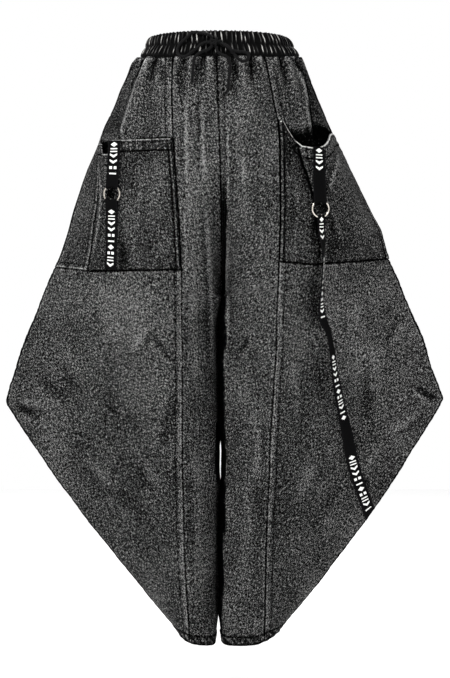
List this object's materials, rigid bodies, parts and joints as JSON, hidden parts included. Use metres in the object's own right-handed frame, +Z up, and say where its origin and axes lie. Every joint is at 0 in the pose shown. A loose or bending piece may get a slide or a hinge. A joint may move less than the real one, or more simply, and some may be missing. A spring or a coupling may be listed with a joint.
{
  "type": "wide wing-leg jeans",
  "caption": "Wide washed denim jeans with a ruched elastic waist, drawstring bow, hanging pockets, webbing straps, O-rings and a pointed wing at each knee.",
  "frame": {"origin": "middle of the ruched waistband, on the body's axis, level with the drawstring's knot", "axes": "+Z up along the body; -Y to the front, where the bow and the pockets are; +X to the wearer's left"},
  "size_m": [0.6998, 0.2571, 0.9622],
  "materials": {
    "denim": "black acid-washed cotton twill, mottled grey, worn pale on its seams",
    "elastic": "black ruched cloth over elastic, soft sheen on each ridge",
    "webbing": "black woven webbing with white marks",
    "cord": "black round braided cord",
    "ring": "polished nickel"
  },
  "bodies": {
    "garment": {"waistband": "elastic", "front_centre_left": "denim", "front_centre_right": "denim", "back_centre_left": "denim", "back_centre_right": "denim", "front_side_left": "denim", "front_side_right": "denim", "back_side_left": "denim", "back_side_right": "denim", "front_wing_left": "denim", "front_wing_right": "denim", "back_wing_left": "denim", "back_wing_right": "denim", "pocket_left": "denim", "pocket_right": "denim", "strap_upper_left": "webbing", "strap_long_left": "webbing", "strap_upper_right": "webbing", "strap_lower_right": "webbing", "drawstring_knot": "cord", "drawstring_loop_left": "cord", "drawstring_loop_right": "cord", "drawstring_end_left": "cord", "drawstring_end_right": "cord"},
    "ring_left": {"ring_left": "ring"},
    "ring_right": {"ring_right": "ring"}
  },
  "joints": [
    {"name": "ring_left_spin", "type": "hinge", "parent": "garment", "child": "ring_left", "pos_m": [0.15845, -0.10426, -0.25765], "axis": [0.1966, -0.9783, -0.0659], "continuous": true},
    {"name": "ring_right_spin", "type": "hinge", "parent": "garment", "child": "ring_right", "pos_m": [-0.16456, -0.09508, -0.2337], "axis": [-0.3365, -0.9395, -0.0641], "continuous": true}
  ]
}
